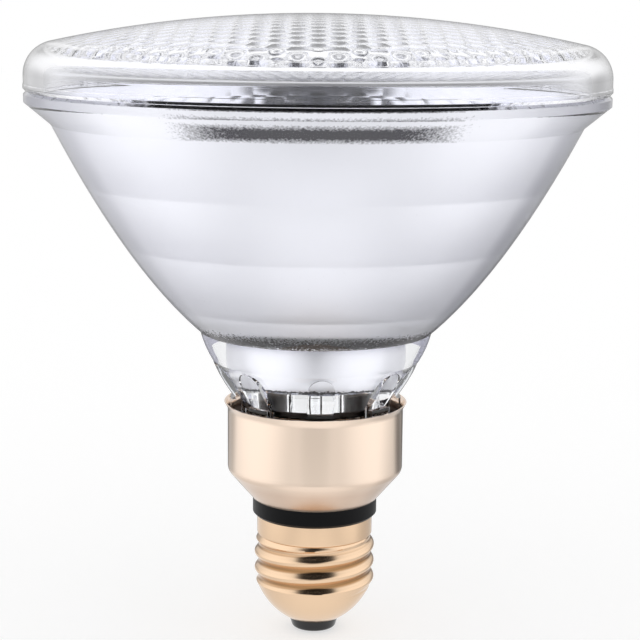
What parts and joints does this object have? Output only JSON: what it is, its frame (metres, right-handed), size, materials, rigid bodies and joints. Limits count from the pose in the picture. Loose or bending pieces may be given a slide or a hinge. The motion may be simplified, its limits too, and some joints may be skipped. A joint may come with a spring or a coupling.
{
  "type": "reflector spotlight bulb",
  "caption": "Sealed-beam reflector spotlight bulb: beaded glass lens, mirrored paraboloid glass bowl with ribbed neck, gold skirt, black insulating ring and round-thread screw cap.",
  "frame": {"origin": "on the lamp's axis, at the underside of the centre contact", "axes": "+Z along the lamp's axis from the screw cap to the lens; X across the two filament posts"},
  "size_m": [0.1218, 0.1218, 0.1335],
  "materials": {
    "lens_glass": "clear pressed glass",
    "reflector_glass": "clear pressed glass with an aluminium mirror film inside",
    "skirt_metal": "satin champagne gold",
    "black_ring": "satin moulded black",
    "shell_metal": "bright pale gold",
    "black_glass": "glossy black glass",
    "contact_metal": "bright",
    "solder": "dull solder",
    "cement": "dull brown capping cement",
    "mount_metal": "nickel-iron",
    "bead_glass": "clear glass",
    "tungsten": "dark drawn tungsten",
    "lead_wire": "coppered wire"
  },
  "bodies": {
    "root": {"front_lens": "lens_glass", "reflector": "reflector_glass", "skirt": "skirt_metal", "insulating_ring": "black_ring", "screw_shell": "shell_metal", "base_insulator": "black_glass", "centre_contact": "contact_metal", "centre_solder": "solder", "basing_cement": "cement", "ferrule_left": "mount_metal", "ferrule_right": "mount_metal", "lead_post_left": "mount_metal", "lead_post_right": "mount_metal", "bridge_bead": "bead_glass", "filament_support": "mount_metal", "filament": "tungsten", "exhaust_tube": "bead_glass", "centre_lead": "lead_wire", "side_lead": "lead_wire", "side_solder": "solder"}
  },
  "joints": []
}
